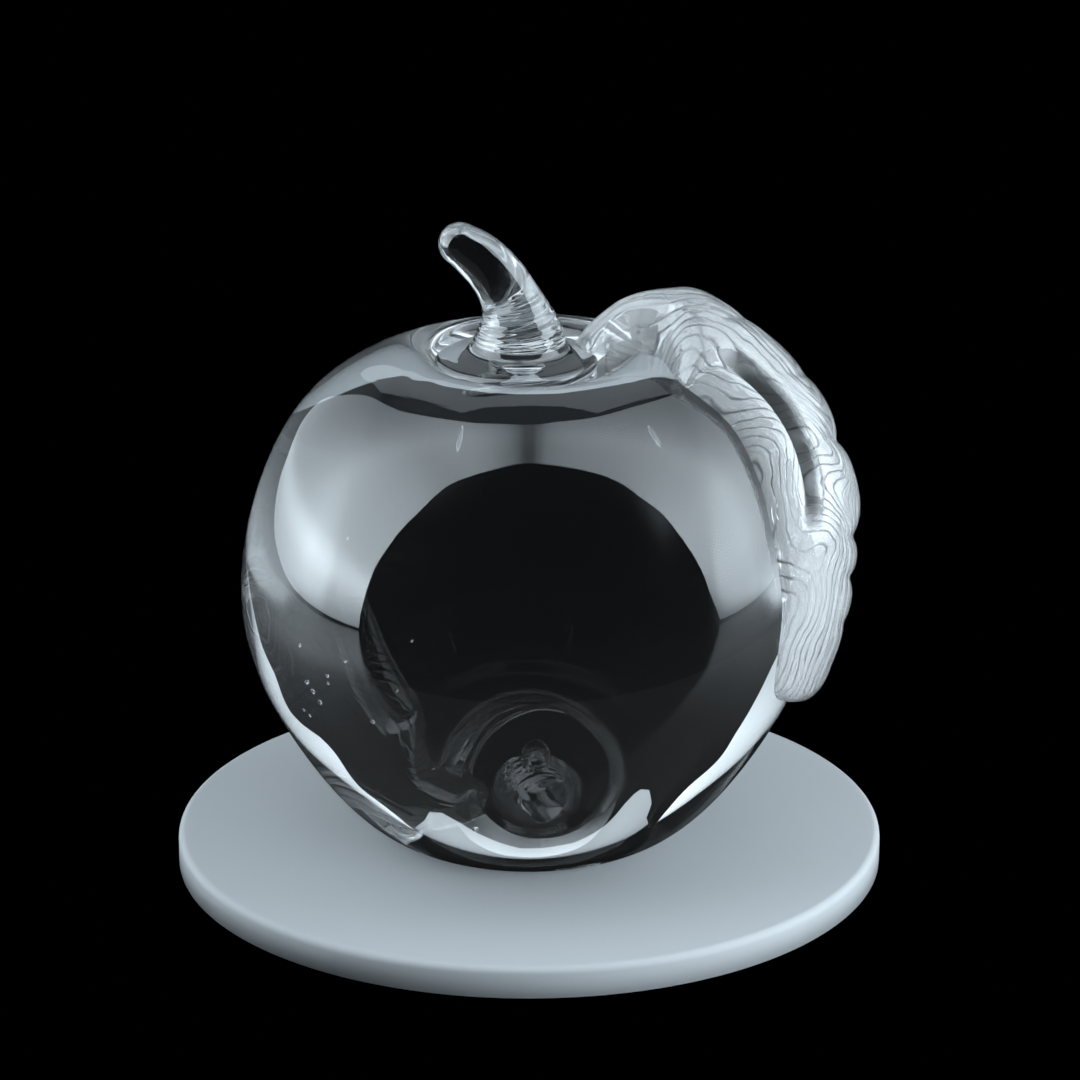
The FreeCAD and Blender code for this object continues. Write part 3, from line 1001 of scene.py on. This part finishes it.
# %% The fill
FILL_LEVEL, FILL_LOW, FILL_HIGH = 15.0, -0.004, 0.20
FILL_NEAR, FILL_FAR = (0.14, -0.38), (0.36, -0.08)
fill_points = [(*end, z) for end in (FILL_NEAR, FILL_FAR) for z in (FILL_LOW, FILL_HIGH)]
make_light("side_fill", fill_points, 2, 2, [FILL_LEVEL] * len(fill_points), matt=True)
print("side fill ready")

# %% [markdown]
# ## A dim sheet behind
# The lower front of the body bends the view up and back, and shows a pale crescent. So a dim reflector
# hangs high behind the tent, a piece of a ball, brighter toward its top.

# %% The reflector
SHEET_RADIUS, SHEET_MIDDLE = 0.75, 0.04
SHEET_SIDE, SHEET_TOP = 30, 62
SHEET_TURNS, SHEET_RISES = 61, 13
SHEET_LEVEL, SHEET_GAIN = 0.66, 0.42
# Degrees to the right of straight behind, and the height of the lower edge there in degrees
sheet_edge = np.array([
    (-30, 36), (-26, 30), (-24, 24), (-21, 18.5), (-18.5, 17), (-17, 20), (-15.5, 25), (-13, 28.5),
    (-10, 31.5), (-3, 33), (2, 33), (6, 30), (10, 26.5), (13, 23.5), (16, 22), (19, 23.5), (22, 28),
    (26, 33), (30, 38)])
sheet_points, levels = [], []
for turn in np.linspace(-SHEET_SIDE, SHEET_SIDE, SHEET_TURNS):
    low = np.interp(turn, sheet_edge[:, 0], sheet_edge[:, 1])
    for share in np.linspace(0, 1, SHEET_RISES):
        rise = math.radians(low + (SHEET_TOP - low) * share)
        out = SHEET_RADIUS * math.cos(rise)
        sheet_points.append((out * math.sin(math.radians(turn)), out * math.cos(math.radians(turn)),
                             SHEET_MIDDLE + SHEET_RADIUS * math.sin(rise)))
        levels.append(SHEET_LEVEL + SHEET_GAIN * share)
make_light("back_sheet", sheet_points, SHEET_TURNS, SHEET_RISES, levels, mirrored=True, through=True,
           matt=True)
print("back sheet:", len(sheet_points), "points")

# %% [markdown]
# ## Floor
# The glass stands on a plain pale round plinth, a little wider than itself, on a dark table. The camera
# doesn't see the table, but the glass mirrors it, and in it the tent's lower edge.

# %% The floor and the table
PLINTH_RADIUS, PLINTH_HEIGHT, PLINTH_EDGE = 0.057, 0.005, 0.0012
PLINTH_SIDES, EDGE_POINTS = 192, 7
TABLE_RADIUS, TABLE_SIDES, TABLE_GAP = 0.5, 72, 0.0002

rounding = np.radians(np.linspace(90, 0, EDGE_POINTS))
outline = [(0, 0)] + [(PLINTH_RADIUS - PLINTH_EDGE + PLINTH_EDGE * math.cos(angle),
                       -PLINTH_EDGE + PLINTH_EDGE * math.sin(angle)) for angle in rounding]
outline += [(PLINTH_RADIUS, -PLINTH_HEIGHT), (0, -PLINTH_HEIGHT)]
turns = 2 * np.pi * np.arange(PLINTH_SIDES) / PLINTH_SIDES
points = np.concatenate([turned(radius, turns, height) for radius, height in outline])
pale, _, _ = finish("pale_floor", Base_Color=(0.21, 0.215, 0.22, 1), Roughness=0.6, Specular_IOR_Level=0.1)
floor = make_piece("pale_floor", points / MM, [ring_faces(len(outline) - 1, PLINTH_SIDES)], [pale])
floor.visible_glossy = False

turns = 2 * np.pi * np.arange(TABLE_SIDES) / TABLE_SIDES
points = turned(TABLE_RADIUS, turns, -PLINTH_HEIGHT - TABLE_GAP)
dark, _, _ = finish("dark_table", Base_Color=(0.004, 0.004, 0.0045, 1), Roughness=0.15, IOR=1.28)
table = make_piece("dark_table", points / MM, [[list(range(TABLE_SIDES))]], [dark])
table.visible_camera = False
print("floor:", len(floor.data.polygons), "faces")

# %% [markdown]
# ## The room, and how far light is followed
# The surround is black. A trace of light is left in the room, unseen by the camera, so that no glass is dead
# black. A ray can turn many times in the glass, and shows as a black spot if it is cut off too early.

# %% The dark room, and limits for the light
ROOM_LIGHT = (0.010, 0.0105, 0.011, 1)
world = bpy.data.worlds.new("dark_room")
scene.world = world
world.use_nodes = True
world.node_tree.nodes["Background"].inputs[0].default_value = ROOM_LIGHT
world.cycles_visibility.camera = False

scene.view_settings.view_transform = "Standard"
scene.cycles.max_bounces = 32
scene.cycles.transmission_bounces = 32
scene.cycles.glossy_bounces = 16
scene.cycles.transparent_max_bounces = 48
print("room:", world.name, "with bounces up to", scene.cycles.max_bounces)

# %% [markdown]
# ## Camera
# The photograph looks down by about twenty degrees, because the ring under the body shows as a thin oval.
# The camera keeps the photograph's frame.

# %% The camera
ELEVATION, DISTANCE = math.radians(20), 0.809
SENSOR, LENS = 36, 168.3
PIXEL, PIXELS_RIGHT, PIXELS_UP = 0.0001602, 11, 48.4
AIM_HEIGHT = 0.0405
camera = placed("camera", bpy.data.cameras.new("camera"))
camera.data.sensor_width, camera.data.lens = SENSOR, LENS
up = Vector((0, math.sin(ELEVATION), math.cos(ELEVATION)))
aim = Vector((PIXELS_RIGHT * PIXEL, 0, AIM_HEIGHT)) + up * (PIXELS_UP * PIXEL)
camera.location = aim + Vector((0, -math.cos(ELEVATION), math.sin(ELEVATION))) * DISTANCE
camera.rotation_euler = (aim - camera.location).to_track_quat("-Z", "Y").to_euler()
scene.camera = camera
print("camera at", [round(x, 3) for x in camera.location])
